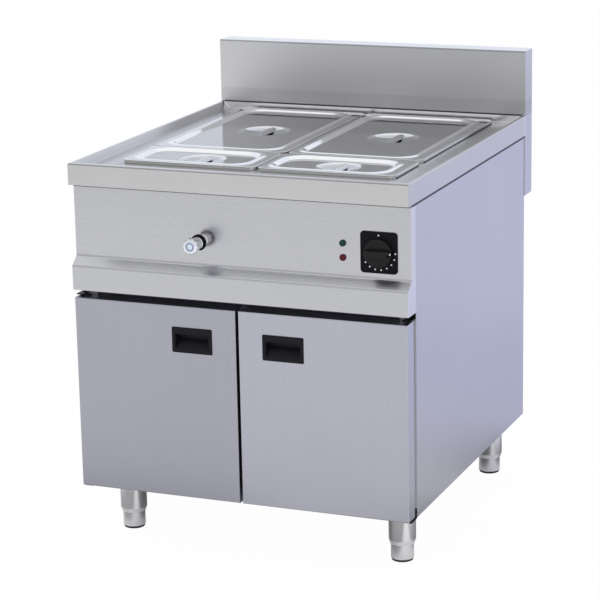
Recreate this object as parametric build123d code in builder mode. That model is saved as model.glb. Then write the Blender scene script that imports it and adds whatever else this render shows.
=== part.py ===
# Sauce bain-marie: a free-standing stainless cabinet with a heated water well that takes
# two full-size and two third-size pans with lids, a control panel and a pair of doors.
# Millimetres, +Z up, front towards -Y. The origin is on the floor, under the middle of the box
# that holds the whole object.
import os
from math import sqrt

from build123d import *

os.makedirs("parts", exist_ok=True)

# Standard pans and the deck around them
gn_width = 325
gn_long = 530
gn_short = 176
pan_gap = 2.5
pan_depth = 150
pan_lip = 6.2
pan_flange = 12.5
pan_sheet = 1.0
pan_corner = 42
pan_round = 18
pan_taper = 2
flange_corner = 20
side_margin = 73.75
front_margin = 120
rear_margin = 16.5

# Worktop and upstand
worktop_height = 885
top_sheet = 1.5
top_bend = 3
apron_drop = 48
rim_side = 8
rim_front = 18
tray_run = 14
tray_drop = 17
upstand_rise = 157
upstand_depth = 55
upstand_seam = 2
cheek_drop = 196

# Lids
lid_sheet = 1.0
lid_inset = 1
lid_lip = 2.3
lid_border = 26
lid_recess = 6.5
lid_corner = 48
lid_edge_bend = 4
lid_foot_bend = 1.5
dimple_long = 61
dimple_short = 50
dimple_depth = 13
dimple_bend = 4
strap_width = 26
strap_sheet = 1.5
strap_sink = 1.5

# Cabinet
sheet = 1.2
panel_bend = 2
side_inset = 2
carcass_setback = 49
leg_height = 134.5
flange = 25
top_flange = 30
floor_wall = 25
rail_height = 52
rail_depth = 30

# Well tank
ledge = 10
tank_depth = 216.5
tank_corner = 25
tank_round = 12
tank_flange = 15
bridge_width = 22
bridge_height = 25
under_tank = 37
false_lift = 40
false_margin = 18
false_hole = 12
false_pitch = 80
element_radius = 4.25
element_lift = 20
element_spread = 130
element_reach = 560
element_nut = 9
element_nut_length = 8

# Control panel
panel_setback = 23
panel_height = 239.5
lip_height = 55.5
slope_height = 19
lip_bend = 7
slope_bend = 8
plate_width = 84
plate_height = 91
plate_corner = 8
plate_thick = 3
plate_from_side = 75
plate_drop = 107.5
knob_radius = 31
knob_base = 8
knob_bar = 15
knob_bar_length = 50
knob_grip = 14
shaft_radius = 3
shaft_boss = 7
thermostat_size = 46
thermostat_depth = 38
shaft_depth = 13
bulb_radius = 4
bulb_length = 120
capillary_radius = 1.5
capillary_bend = 8
lamp_radius = 7.5
lamp_proud = 4
lamp_body = 6
lamp_depth = 28
lamp_from_plate = 82.5
green_drop = 92.5
red_drop = 124

# Water valve and pipes
valve_reach = 47
valve_offset = 85
valve_drop = 109
valve_knob_radius = 18.5
valve_lobes = 8
valve_lobe_radius = 5
valve_cap = 18
valve_hub = 13.5
valve_hub_length = 24.5
valve_neck = 7.5
valve_bonnet = 12
ring_radius = 18
ring_thick = 5
valve_body_radius = 14
valve_body_length = 46
valve_boss = 10
valve_boss_length = 26
valve_boss_inset = 12
spindle_radius = 4
spindle_depth = 32
pipe_radius = 7.5
pipe_bore = 6
pipe_bend = 22
fill_drop = 20
inlet_thread = 10.45
inlet_length = 20
drain_radius = 13
drain_bore = 11
drain_bend = 30
drain_flange = 24
drain_from_side = 150
drain_from_rear = 293
drain_run_drop = 52
ball_from_rear = 143
ball_radius = 19
ball_length = 60
ball_boss = 9
ball_boss_rise = 31
stem_radius = 4
stem_depth = 8
lever_length = 95
lever_width = 18
lever_thick = 3
outlet_length = 36
spigot_radius = 14
spigot_length = 30

# Doors
door_gap = 6.6
door_side_gap = 5
door_thick = 42
door_sheet = 1.0
door_head_gap = 17.5
door_foot_gap = 2
handle_width = 97
handle_height = 58.5
handle_proud = 1.2
handle_corner = 3
handle_depth = 24
handle_wall = 4
handle_lip = 16
handle_from_edge = 56.7
handle_drop = 47.5
hinge_from_edge = 8
hinge_from_front = 24
pin_radius = 4
pin_length = 16
bush_radius = 6.5
bush_length = 18
bracket_thick = 2.5
bracket_width = 20
bracket_gap = 3
catch_width = 40
catch_height = 14
catch_thick = 6
catch_from_middle = 20

# Legs, electrics and screws
leg_from_side = 67
leg_from_front = 131
leg_from_rear = 126
leg_plate = 90
leg_plate_thick = 3
sleeve_radius = 30.8
sleeve_end = 50
sleeve_taper = 10
foot_radius = 26
foot_bore = 22
foot_base = 20
foot_rise = 112
pad_radius = 24.5
pad_height = 6
box_width = 120
box_height = 70
box_depth = 60
box_from_side = 60
gland_radius = 10
gland_nut = 15
gland_length = 24
gland_bore = 6
gland_drop = 52
screw_head = 4
screw_rise = 2.5
screw_shank = 2
screw_length = 4
screw_rows = 5

# Clearances
running_gap = 0.05
slide_gap = 0.4
rest_gap = 0.2
hole_gap = 0.3
seat_gap = 1

# Planes that the pieces share
block_width = 2 * gn_width + pan_gap
block_depth = gn_short + pan_gap + gn_long
width = block_width + 2 * side_margin
depth = front_margin + block_depth + rear_margin + upstand_depth
front_y = (valve_reach - depth) / 2
rear_y = front_y + depth
top_rear_y = rear_y - upstand_depth
deck_z = worktop_height - tray_drop
deck_under_z = deck_z - top_sheet
apron_z = worktop_height - apron_drop
cheek_z = worktop_height - cheek_drop
carcass_y = front_y + carcass_setback
carcass_rear_y = top_rear_y - top_sheet
side_x = width / 2 - side_inset
inside_x = side_x - sheet
inside_y = carcass_y + sheet
inside_rear_y = carcass_rear_y - sheet
block_y = front_y + front_margin
well_x = block_width / 2 - ledge
well_y = block_y + ledge
well_rear_y = block_y + block_depth - ledge
tank_z = deck_under_z - tank_depth
tank_floor_z = tank_z + top_sheet
ceiling_z = tank_z - under_tank
panel_y = front_y + panel_setback
panel_back_y = panel_y + sheet
lip_z = apron_z - panel_height
step_z = lip_z + lip_height
door_top_z = lip_z - door_head_gap
door_base_z = leg_height + door_foot_gap
flange_top_z = deck_z + rest_gap + pan_lip
lid_top_z = flange_top_z + rest_gap + lid_lip
lid_panel_z = lid_top_z - lid_recess
plate_x = width / 2 - plate_from_side
plate_z = apron_z - plate_drop
valve_x = -valve_offset
valve_z = apron_z - valve_drop
drain_x = width / 2 - drain_from_side
drain_y = rear_y - drain_from_rear
drain_z = ceiling_z - drain_run_drop
ball_y = rear_y - ball_from_rear
pan_base_z = flange_top_z - pan_depth
false_z = tank_floor_z + false_lift
bulb_x = well_x - tank_corner - 2 * bulb_radius
bulb_z = (false_z + pan_base_z) / 2
element_z = tank_floor_z + element_lift
pipe_run_z = tank_z - under_tank / 2
gland_z = ceiling_z - gland_drop
gland_x = box_from_side + box_width / 2 - width / 2
screw_x = side_x - flange / 2
screw_heights = [
    leg_height + (cheek_z - leg_height) * (row + 0.5) / screw_rows for row in range(screw_rows)
]
hinge_x = width / 2 - door_side_gap - hinge_from_edge
hinge_y = front_y + hinge_from_front
leg_spots = [
    (sx * (width / 2 - leg_from_side), y)
    for sx in (-1, 1)
    for y in (front_y + leg_from_front, rear_y - leg_from_rear)
]


def save(builder, node):
    """Label a finished piece and write its STEP file."""
    builder.part.label = node
    export_step(builder.part, f"parts/{node}.step")


def block(x, y, z, mode=Mode.ADD):
    """Box between two limits on each axis, in the part that is being built."""
    with Locations((sum(x) / 2, sum(y) / 2, sum(z) / 2)):
        Box(x[1] - x[0], y[1] - y[0], z[1] - z[0], mode=mode)


def rod(x, z, y, radius, mode=Mode.ADD):
    """Round bar along Y between two depths, in the part that is being built."""
    with BuildSketch(Plane.XZ.offset(-y[0])) as disc:
        with Locations((x, z)):
            Circle(radius)
    extrude(disc.sketch, amount=y[0] - y[1], mode=mode)


def post(x, y, z, radius, mode=Mode.ADD):
    """Round bar along Z between two heights, in the part that is being built."""
    with BuildSketch(Plane.XY.offset(z[0])) as disc:
        with Locations((x, y)):
            Circle(radius)
    extrude(disc.sketch, amount=z[1] - z[0], mode=mode)


def tube(points, bend, radius, bore):
    """Pipe along straight runs joined by arcs, in the part that is being built."""
    with BuildLine() as run:
        FilletPolyline(*points, radius=bend)
    with BuildSketch(Plane(origin=points[0], z_dir=run.line % 0)) as ring:
        Circle(radius)
        Circle(bore, mode=Mode.SUBTRACT)
    sweep(ring.sketch, path=run.line)


def rounded_plate(x, y, z, size, corner, thick, mode=Mode.ADD):
    """Plate with rounded corners, from height z down by thick, in the part that is being built."""
    with BuildSketch(Plane.XY.offset(z)) as outline:
        with Locations((x, y)):
            RectangleRounded(*size, corner)
    extrude(outline.sketch, amount=-thick, mode=mode)


def tray_void(grow):
    """Sunken tray of the worktop with every wall moved outwards by grow."""
    slide = grow * sqrt(tray_run**2 + tray_drop**2) / tray_drop
    run = tray_run * (tray_drop + grow) / tray_drop
    rear = top_rear_y - top_sheet + grow
    with BuildPart() as void:
        for z, inset in ((worktop_height, 0), (deck_z - grow, run)):
            half = width / 2 - rim_side + slide - inset
            front = front_y + rim_front - slide + inset
            with BuildSketch(Plane.XY.offset(z)):
                with Locations((0, (front + rear) / 2)):
                    Rectangle(2 * half, rear - front)
        loft(ruled=True)
    return void.part


# Worktop: pressed tray with a folded apron and one cut-out over the well
with BuildPart() as under_top:
    block(
        (top_sheet - width / 2, width / 2 - top_sheet),
        (front_y + top_sheet, carcass_rear_y),
        (apron_z, worktop_height - top_sheet),
    )
    add(tray_void(top_sheet), mode=Mode.SUBTRACT)

with BuildPart() as worktop:
    block((-width / 2, width / 2), (front_y, top_rear_y), (apron_z, worktop_height))
    fillet(worktop.edges().filter_by(Axis.Z).group_by(Axis.Y)[0], top_bend)
    add(tray_void(0), mode=Mode.SUBTRACT)
    rim = worktop.edges().group_by(Axis.Z)[-1]
    fillet([e for e in rim if e.center().Y < top_rear_y - rim_front], top_bend)
    add(under_top.part, mode=Mode.SUBTRACT)
    rounded_plate(
        0,
        (well_y + well_rear_y) / 2,
        deck_z,
        (2 * well_x, well_rear_y - well_y),
        tank_corner,
        top_sheet,
        mode=Mode.SUBTRACT,
    )
save(worktop, "worktop")

# Upstand: folded box along the rear edge, with a seam where it meets the worktop
with BuildPart() as upstand:
    block(
        (-width / 2, width / 2),
        (top_rear_y, rear_y),
        (worktop_height, worktop_height + upstand_rise),
    )
    fillet(upstand.faces().sort_by(Axis.Z)[-1].edges(), top_bend)
    offset(amount=-sheet, openings=upstand.faces().sort_by(Axis.Z)[0])
    block(
        (sheet - width / 2, width / 2 - sheet),
        (top_rear_y, top_rear_y + sheet),
        (worktop_height, worktop_height + upstand_seam),
        mode=Mode.SUBTRACT,
    )
save(upstand, "upstand")

# Cheeks: channels that carry the upstand's ends down behind the side panels
with BuildPart() as rear_cheeks:
    for sx in (-1, 1):
        with BuildSketch(Plane.XY.offset(cheek_z)):
            with Locations((sx * (width / 2 - flange / 2), (top_rear_y + rear_y) / 2)):
                Rectangle(flange, upstand_depth)
            with Locations((sx * (width / 2 - flange / 2 - sheet), (top_rear_y + rear_y) / 2)):
                Rectangle(flange, upstand_depth - 2 * sheet, mode=Mode.SUBTRACT)
        extrude(amount=cheek_drop)
save(rear_cheeks, "rear_cheeks")

# Well tank: deep drawn box welded under the deck's cut-out
well_size = (2 * well_x, well_rear_y - well_y)
well_mid_y = (well_y + well_rear_y) / 2
shell_size = (well_size[0] + 2 * top_sheet, well_size[1] + 2 * top_sheet)
element_spots = [
    sx * (well_x / 2) + side * element_spread / 2 for sx in (-1, 1) for side in (-1, 1)
]
with BuildPart() as well_void:
    rounded_plate(0, well_mid_y, deck_under_z, well_size, tank_corner, tank_depth - top_sheet)
    fillet(well_void.faces().sort_by(Axis.Z)[0].edges(), tank_round)

with BuildPart() as well_tank:
    rounded_plate(0, well_mid_y, deck_under_z, shell_size, tank_corner + top_sheet, tank_depth)
    fillet(well_tank.faces().sort_by(Axis.Z)[0].edges(), tank_round + top_sheet)
    collar_size = (shell_size[0] + 2 * tank_flange, shell_size[1] + 2 * tank_flange)
    rounded_plate(0, well_mid_y, deck_under_z, collar_size, tank_corner + tank_flange, top_sheet)
    add(well_void.part, mode=Mode.SUBTRACT)
    wall = (well_y - top_sheet, well_y)
    for x in element_spots:
        rod(x, element_z, wall, element_radius + hole_gap, mode=Mode.SUBTRACT)
    rod(bulb_x, bulb_z, wall, bulb_radius + hole_gap, mode=Mode.SUBTRACT)
    rod(valve_x, deck_under_z - fill_drop, wall, pipe_bore, mode=Mode.SUBTRACT)
    post(drain_x, drain_y, (tank_z, tank_floor_z), drain_radius + hole_gap, mode=Mode.SUBTRACT)
save(well_tank, "well_tank")

# Bridges: upturned channels across the well that carry the pans' inner edges
cross_y = block_y + gn_short + pan_gap / 2
bridge_z = (deck_z - bridge_height, deck_z)
with BuildPart() as pan_bridges:
    half = bridge_width / 2
    inner = half - top_sheet
    hollow_z = (bridge_z[0], deck_z - top_sheet)
    block((-half, half), (well_y, well_rear_y), bridge_z)
    block((-inner, inner), (well_y, well_rear_y), hollow_z, mode=Mode.SUBTRACT)
    for sx in (-1, 1):
        ends = sorted((sx * (half + hole_gap), sx * well_x))
        block(ends, (cross_y - half, cross_y + half), bridge_z)
        block(ends, (cross_y - inner, cross_y + inner), hollow_z, mode=Mode.SUBTRACT)
save(pan_bridges, "pan_bridges")

# False bottom: perforated plate on two folded skirts, over the heating elements
false_x = well_x - false_margin
false_y = (well_y + false_margin, well_rear_y - false_margin)
with BuildPart() as false_bottom:
    block((-false_x, false_x), false_y, (false_z - sheet, false_z))
    for sx in (-1, 1):
        block(sorted((sx * false_x, sx * (false_x - sheet))), false_y, (tank_floor_z, false_z))
    columns = int(2 * (false_x - false_hole) // false_pitch)
    rows = int((false_y[1] - false_y[0] - 2 * false_hole) // false_pitch)
    with BuildSketch(Plane.XY.offset(false_z)):
        with Locations((0, sum(false_y) / 2)):
            with GridLocations(false_pitch, false_pitch, columns, rows):
                Circle(false_hole)
    extrude(amount=-sheet, mode=Mode.SUBTRACT)
save(false_bottom, "false_bottom")

# Heating elements: two hairpin tubes with threaded heads outside the tank's front wall
with BuildPart() as heating_elements:
    head_y = well_y - top_sheet - element_nut_length
    for x in (element_spots[0], element_spots[2]):
        far = x + element_spread
        turn_y = well_y + element_reach
        with BuildLine() as hairpin:
            FilletPolyline(
                (x, head_y, element_z),
                (x, turn_y, element_z),
                (far, turn_y, element_z),
                (far, head_y, element_z),
                radius=element_spread / 2 - seat_gap,
            )
        with BuildSketch(Plane(origin=(x, head_y, element_z), z_dir=hairpin.line % 0)):
            Circle(element_radius)
        sweep()
        for end in (x, far):
            rod(end, element_z, (head_y, well_y - top_sheet), element_nut)
save(heating_elements, "heating_elements")

# Side panels: sheets with folded front, rear and top edges
for name, sx in (("left", -1), ("right", 1)):
    with BuildPart() as side_panel:
        skin_x = sorted((sx * side_x, sx * inside_x))
        edge_x = sorted((sx * side_x, sx * (side_x - flange)))
        shelf_x = sorted((sx * side_x, sx * (side_x - top_flange)))
        tall = (leg_height, deck_under_z)
        block(skin_x, (carcass_y, carcass_rear_y), tall)
        block(edge_x, (carcass_y, inside_y), tall)
        block(edge_x, (inside_rear_y, carcass_rear_y), tall)
        block(shelf_x, (carcass_y, carcass_rear_y), (deck_under_z - sheet, deck_under_z))
        for z in screw_heights:
            rod(sx * screw_x, z, (inside_rear_y, carcass_rear_y), screw_shank + hole_gap, mode=Mode.SUBTRACT)
    save(side_panel, f"{name}_side_panel")

# Back panel, screwed to the side panels' rear edges
back_y = (carcass_rear_y, top_rear_y)
screw_spots = [(sx * screw_x, z) for sx in (-1, 1) for z in screw_heights]
with BuildPart() as back_panel:
    block((-side_x, side_x), back_y, (leg_height, apron_z))
    for x, z in screw_spots:
        rod(x, z, back_y, screw_shank + hole_gap, mode=Mode.SUBTRACT)
    rod(valve_x, pipe_run_z, back_y, pipe_radius + hole_gap, mode=Mode.SUBTRACT)
    rod(drain_x, drain_z, back_y, drain_radius + hole_gap, mode=Mode.SUBTRACT)
    rod(gland_x, gland_z, back_y, gland_radius + hole_gap, mode=Mode.SUBTRACT)
save(back_panel, "back_panel")

with BuildPart() as back_screws:
    for x, z in screw_spots:
        rod(x, z, (top_rear_y, top_rear_y + screw_rise), screw_head)
        rod(x, z, (top_rear_y - screw_length, top_rear_y), screw_shank)
save(back_screws, "back_screws")

# Cabinet floor: tray between the side panels
with BuildPart() as cabinet_floor:
    block((-inside_x, inside_x), (inside_y, inside_rear_y), (leg_height, leg_height + floor_wall))
    block(
        (sheet - inside_x, inside_x - sheet),
        (inside_y + sheet, inside_rear_y - sheet),
        (leg_height + sheet, leg_height + floor_wall),
        mode=Mode.SUBTRACT,
    )
save(cabinet_floor, "cabinet_floor")

# Ceiling sheet over the storage space, with a hole for the drain
with BuildPart() as cabinet_ceiling:
    block((-inside_x, inside_x), (inside_y, inside_rear_y), (ceiling_z, ceiling_z + sheet))
    hole_z = (ceiling_z, ceiling_z + sheet)
    post(drain_x, drain_y, hole_z, drain_radius + seat_gap, mode=Mode.SUBTRACT)
save(cabinet_ceiling, "cabinet_ceiling")

# Front rail: channel behind the heads of the doors
with BuildPart() as front_rail:
    block((-inside_x, inside_x), (inside_y, inside_y + rail_depth), (ceiling_z - rail_height, ceiling_z))
    block(
        (-inside_x, inside_x),
        (inside_y + sheet, inside_y + rail_depth),
        (ceiling_z - rail_height + sheet, ceiling_z - sheet),
        mode=Mode.SUBTRACT,
    )
save(front_rail, "front_rail")

# Control panel: folded front with a stepped lip and closed ends
with BuildPart() as control_panel:
    with BuildSketch(Plane.YZ.offset(-side_x)) as section:
        with BuildLine():
            Polyline(
                (carcass_y, lip_z),
                (front_y, lip_z),
                (front_y, step_z),
                (panel_y, step_z + slope_height),
                (panel_y, apron_z),
                (carcass_y, apron_z),
                close=True,
            )
        make_face()
        for bend_z, bend in ((step_z, lip_bend), (step_z + slope_height, slope_bend)):
            fillet([v for v in section.vertices() if abs(v.Y - bend_z) < rest_gap], bend)
    extrude(amount=2 * side_x)
    offset(amount=-sheet, openings=control_panel.faces().sort_by(Axis.Y)[-1])
    face = (panel_y, panel_back_y)
    rod(plate_x, plate_z, face, shaft_boss + hole_gap, mode=Mode.SUBTRACT)
    rod(valve_x, valve_z, face, valve_neck + hole_gap, mode=Mode.SUBTRACT)
    for drop in (green_drop, red_drop):
        rod(plate_x - lamp_from_plate, apron_z - drop, face, lamp_body + hole_gap, mode=Mode.SUBTRACT)
save(control_panel, "control_panel")

# Thermostat: bezel plate, body with its sensing bulb, shaft and knob
with BuildPart() as thermostat_plate:
    with BuildSketch(Plane.XZ.offset(-panel_y)):
        with Locations((plate_x, plate_z)):
            RectangleRounded(plate_width, plate_height, plate_corner)
            Circle(shaft_boss + hole_gap, mode=Mode.SUBTRACT)
    extrude(amount=plate_thick)
    fillet(thermostat_plate.faces().sort_by(Axis.Y)[0].outer_wire().edges(), sheet)
save(thermostat_plate, "thermostat_plate")

boss_y = panel_y - plate_thick
body_y = (panel_back_y, panel_back_y + thermostat_depth)
with BuildPart() as thermostat_body:
    half = thermostat_size / 2
    block((plate_x - half, plate_x + half), body_y, (plate_z - half, plate_z + half))
    rod(plate_x, plate_z, (boss_y, panel_back_y), shaft_boss)
    rod(
        plate_x,
        plate_z,
        (boss_y, panel_back_y + shaft_depth + seat_gap),
        shaft_radius + running_gap,
        mode=Mode.SUBTRACT,
    )
save(thermostat_body, "thermostat_body")

with BuildPart() as sensor_bulb:
    turn_y = (body_y[1] + well_y) / 2
    with BuildLine() as capillary:
        FilletPolyline(
            (plate_x, body_y[1], plate_z),
            (plate_x, turn_y, plate_z),
            (bulb_x, turn_y, bulb_z),
            (bulb_x, well_y, bulb_z),
            radius=capillary_bend,
        )
    with BuildSketch(Plane(origin=(plate_x, body_y[1], plate_z), z_dir=capillary.line % 0)):
        Circle(capillary_radius)
    sweep()
    rod(bulb_x, bulb_z, (well_y - top_sheet, well_y + bulb_length), bulb_radius)
save(sensor_bulb, "sensor_bulb")

knob_y = boss_y - seat_gap
with BuildPart() as thermostat_knob:
    rod(plate_x, plate_z, (knob_y - knob_base, knob_y), knob_radius)
    with BuildSketch(Plane.XZ.offset(knob_base - knob_y)):
        with Locations((plate_x, plate_z)):
            Rectangle(knob_bar_length, knob_bar)
    extrude(amount=knob_grip)
    fillet(thermostat_knob.faces().sort_by(Axis.Y)[0].edges(), panel_bend)
    rod(plate_x, plate_z, (knob_y - knob_base, knob_y), shaft_radius, mode=Mode.SUBTRACT)
save(thermostat_knob, "thermostat_knob")

with BuildPart() as thermostat_shaft:
    rod(plate_x, plate_z, (knob_y - knob_base, panel_back_y + shaft_depth), shaft_radius)
save(thermostat_shaft, "thermostat_shaft")

# Signal lamps: domed lens on a body behind the panel
for name, drop in (("green", green_drop), ("red", red_drop)):
    lamp_x = plate_x - lamp_from_plate
    with BuildPart() as lamp:
        rod(lamp_x, apron_z - drop, (panel_y - lamp_proud, panel_y), lamp_radius)
        fillet(lamp.faces().sort_by(Axis.Y)[0].edges(), lamp_proud / 2)
        rod(lamp_x, apron_z - drop, (panel_y, panel_back_y + lamp_depth), lamp_body)
    save(lamp, f"{name}_lamp")

# Water valve: body with a neck and bonnet, ring before the bonnet, spindle and lobed handle
handle_y = front_y - valve_reach
cap_y = handle_y + valve_cap
hub_y = cap_y + valve_hub_length
neck_y = hub_y + seat_gap
bonnet_y = neck_y + ring_thick
valve_back_y = panel_back_y + valve_body_length
boss_mid_y = valve_back_y - valve_boss_inset
with BuildPart() as valve_ring:
    rod(valve_x, valve_z, (neck_y, bonnet_y), ring_radius)
    fillet(valve_ring.faces().sort_by(Axis.Y)[0].edges(), ring_thick / 3)
    rod(valve_x, valve_z, (neck_y, bonnet_y), valve_neck + hole_gap, mode=Mode.SUBTRACT)
save(valve_ring, "valve_ring")

with BuildPart() as valve_body:
    rod(valve_x, valve_z, (panel_back_y, valve_back_y), valve_body_radius)
    post(
        valve_x,
        boss_mid_y,
        (valve_z - valve_boss_length, valve_z + valve_boss_length),
        valve_boss,
    )
    rod(valve_x, valve_z, (neck_y, panel_back_y), valve_neck)
    rod(valve_x, valve_z, (bonnet_y, panel_y), valve_bonnet)
    rod(
        valve_x,
        valve_z,
        (neck_y, panel_back_y + spindle_depth + seat_gap),
        spindle_radius + running_gap,
        mode=Mode.SUBTRACT,
    )
save(valve_body, "valve_body")

with BuildPart() as valve_spindle:
    rod(valve_x, valve_z, (cap_y, panel_back_y + spindle_depth), spindle_radius)
save(valve_spindle, "valve_spindle")

with BuildPart() as valve_knob:
    with BuildSketch(Plane.XZ.offset(-cap_y)):
        with Locations((valve_x, valve_z)):
            Circle(valve_knob_radius - valve_lobe_radius / 2)
            with PolarLocations(valve_knob_radius - valve_lobe_radius, valve_lobes):
                Circle(valve_lobe_radius)
    extrude(amount=valve_cap)
    fillet(valve_knob.faces().sort_by(Axis.Y)[0].edges(), panel_bend)
    rod(valve_x, valve_z, (cap_y, hub_y), valve_hub)
    rod(valve_x, valve_z, (cap_y, hub_y), spindle_radius, mode=Mode.SUBTRACT)
save(valve_knob, "valve_knob")

# Water pipes: inlet from the rear, under the tank, and fill pipe into the well
with BuildPart() as water_pipes:
    inlet_end_y = top_rear_y + outlet_length
    tube(
        [
            (valve_x, boss_mid_y, valve_z - valve_boss_length),
            (valve_x, boss_mid_y, pipe_run_z),
            (valve_x, inlet_end_y - inlet_length, pipe_run_z),
        ],
        pipe_bend,
        pipe_radius,
        pipe_bore,
    )
    rod(valve_x, pipe_run_z, (inlet_end_y - inlet_length, inlet_end_y), inlet_thread)
    rod(
        valve_x,
        pipe_run_z,
        (inlet_end_y - inlet_length, inlet_end_y),
        pipe_bore,
        mode=Mode.SUBTRACT,
    )
    tube(
        [
            (valve_x, boss_mid_y, valve_z + valve_boss_length),
            (valve_x, boss_mid_y, deck_under_z - fill_drop),
            (valve_x, well_y - top_sheet, deck_under_z - fill_drop),
        ],
        pipe_bend,
        pipe_radius,
        pipe_bore,
    )
save(water_pipes, "water_pipes")

# Drain: flanged outlet in the tank's floor, run to a ball valve and out at the rear
ball_y_ends = (ball_y - ball_length / 2, ball_y + ball_length / 2)
drain_end_y = top_rear_y + outlet_length
with BuildPart() as drain_pipe:
    post(drain_x, drain_y, (tank_floor_z, tank_floor_z + sheet), drain_flange)
    post(drain_x, drain_y, (tank_floor_z, tank_floor_z + sheet), drain_bore, mode=Mode.SUBTRACT)
    tube(
        [
            (drain_x, drain_y, tank_floor_z),
            (drain_x, drain_y, drain_z),
            (drain_x, ball_y_ends[0], drain_z),
        ],
        drain_bend,
        drain_radius,
        drain_bore,
    )
    rod(drain_x, drain_z, (ball_y_ends[1], drain_end_y), drain_radius)
    rod(drain_x, drain_z, (drain_end_y - spigot_length, drain_end_y), spigot_radius)
    rod(drain_x, drain_z, (ball_y_ends[1], drain_end_y), drain_bore, mode=Mode.SUBTRACT)
save(drain_pipe, "drain_pipe")

boss_top_z = drain_z + ball_boss_rise
with BuildPart() as drain_valve:
    rod(drain_x, drain_z, ball_y_ends, ball_radius)
    post(drain_x, ball_y, (drain_z, boss_top_z), ball_boss)
    stem_z = (boss_top_z - stem_depth - seat_gap, boss_top_z)
    post(drain_x, ball_y, stem_z, stem_radius + running_gap, mode=Mode.SUBTRACT)
save(drain_valve, "drain_valve")

lever_z = boss_top_z + seat_gap
with BuildPart() as drain_lever:
    with BuildSketch(Plane.XY.offset(lever_z)):
        with Locations((drain_x - lever_length / 2, ball_y)):
            SlotOverall(lever_length + lever_width, lever_width)
    extrude(amount=lever_thick)
    post(drain_x, ball_y, (boss_top_z - stem_depth, lever_z), stem_radius)
save(drain_lever, "drain_lever")

# Doors: folded skin with a liner, hinge bushes and a recessed finger pull
door_x = (door_gap / 2, width / 2 - door_side_gap)
door_z = (door_base_z, door_top_z)
door_rear_y = front_y + door_thick
for name, sx in (("left", -1), ("right", 1)):
    leaf = sorted(sx * x for x in door_x)
    pull_x = sx * (door_gap / 2 + handle_from_edge + handle_width / 2)
    pull_z = (door_top_z - handle_drop - handle_height, door_top_z - handle_drop)
    pull_mid_z = sum(pull_z) / 2
    bucket = (handle_width - 2 * handle_wall, handle_height - 2 * handle_wall)
    pivot_x = sx * hinge_x

    with BuildPart() as door_skin:
        block(leaf, (front_y, door_rear_y), door_z)
        fillet(door_skin.faces().sort_by(Axis.Y)[0].edges(), panel_bend)
        offset(amount=-door_sheet, openings=door_skin.faces().sort_by(Axis.Y)[-1])
        with BuildSketch(Plane.XZ.offset(-front_y)):
            with Locations((pull_x, pull_mid_z)):
                Rectangle(bucket[0] + 2 * hole_gap, bucket[1] + 2 * hole_gap)
        extrude(amount=-door_sheet, mode=Mode.SUBTRACT)
        for z in ((door_base_z, door_base_z + door_sheet), (door_top_z - door_sheet, door_top_z)):
            post(pivot_x, hinge_y, z, pin_radius + seat_gap, mode=Mode.SUBTRACT)
    save(door_skin, f"{name}_door_skin")

    with BuildPart() as door_liner:
        block(
            (leaf[0] + door_sheet, leaf[1] - door_sheet),
            (door_rear_y - door_sheet, door_rear_y),
            (door_base_z + door_sheet, door_top_z - door_sheet),
        )
    save(door_liner, f"{name}_door_liner")

    with BuildPart() as door_bushes:
        low = door_base_z + door_sheet
        high = door_top_z - door_sheet
        for z in ((low, low + bush_length), (high - bush_length, high)):
            post(pivot_x, hinge_y, z, bush_radius)
            post(pivot_x, hinge_y, z, pin_radius + running_gap, mode=Mode.SUBTRACT)
    save(door_bushes, f"{name}_door_bushes")

    with BuildPart() as door_handle:
        with BuildSketch(Plane.XZ.offset(-front_y)):
            with Locations((pull_x, pull_mid_z)):
                RectangleRounded(handle_width, handle_height, handle_corner)
        extrude(amount=handle_proud)
        fillet(door_handle.faces().sort_by(Axis.Y)[0].edges(), handle_proud / 2)
        with BuildSketch(Plane.XZ.offset(-front_y)):
            with Locations((pull_x, pull_mid_z)):
                Rectangle(*bucket)
        extrude(amount=-handle_depth)
        throat = bucket[0] - 2 * handle_wall
        deep_y = front_y + handle_depth - handle_wall
        low = pull_z[0] + 2 * handle_wall
        with BuildSketch(Plane.YZ.offset(pull_x - throat / 2)):
            Polygon(
                (front_y - handle_proud, low),
                (deep_y, pull_mid_z),
                (deep_y, pull_z[1] - 2 * handle_wall),
                (front_y - handle_proud, pull_z[1] - handle_lip),
                align=None,
            )
        extrude(amount=throat, mode=Mode.SUBTRACT)
    save(door_handle, f"{name}_door_handle")

# Hinge brackets: plates on the side panels' front edges, each with a pin into a door bush
with BuildPart() as hinge_brackets:
    for sx in (-1, 1):
        pivot_x = sx * hinge_x
        plate_ends = (pivot_x - bracket_width / 2, pivot_x + bracket_width / 2)
        arm_y = (hinge_y - bracket_width / 2, carcass_y)
        head_z = door_top_z + bracket_gap
        foot_z = door_base_z - bracket_gap
        tab_y = (carcass_y - bracket_thick, carcass_y)
        block(plate_ends, arm_y, (head_z, head_z + bracket_thick))
        block(plate_ends, tab_y, (head_z, lip_z - bracket_gap))
        post(pivot_x, hinge_y, (door_top_z - pin_length, head_z), pin_radius)
        block(plate_ends, arm_y, (foot_z - bracket_thick, foot_z))
        block(plate_ends, tab_y, (foot_z - bracket_thick, leg_height + bracket_width))
        post(pivot_x, hinge_y, (foot_z, door_base_z + pin_length), pin_radius)
save(hinge_brackets, "hinge_brackets")

# Magnetic catches on the front rail, one for each door
with BuildPart() as door_catches:
    catch_z = door_top_z - catch_height - bracket_gap
    for sx in (-1, 1):
        ends = sorted((sx * catch_from_middle, sx * (catch_from_middle + catch_width)))
        block(ends, (inside_y - catch_thick, inside_y), (catch_z, catch_z + catch_height))
save(door_catches, "door_catches")

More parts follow.
